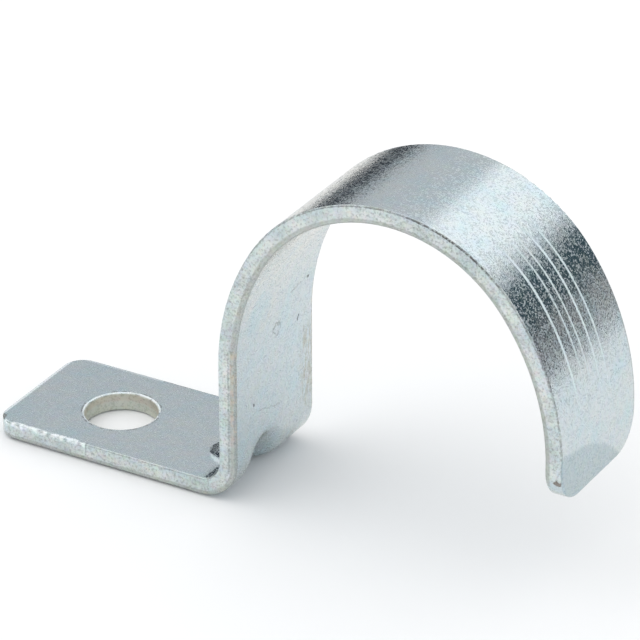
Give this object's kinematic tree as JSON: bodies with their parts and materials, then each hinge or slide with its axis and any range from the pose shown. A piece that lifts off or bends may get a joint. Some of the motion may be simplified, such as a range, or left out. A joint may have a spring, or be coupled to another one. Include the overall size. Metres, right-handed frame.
{
  "type": "conduit strap",
  "caption": "One-piece folded steel strap with a flat screwed foot and an open arch that holds a round conduit to a wall.",
  "frame": {"origin": "screw hole's axis at the mounting face, the underside of the foot", "axes": "+Z away from the wall, +X from the foot towards the arch's free end, Y along the conduit, the strap's width centred on Y = 0"},
  "size_m": [0.0838, 0.02, 0.0478],
  "materials": {
    "zinc_steel": "bright zinc plating, semi-gloss"
  },
  "bodies": {
    "root": {"strap": "zinc_steel"}
  },
  "joints": []
}
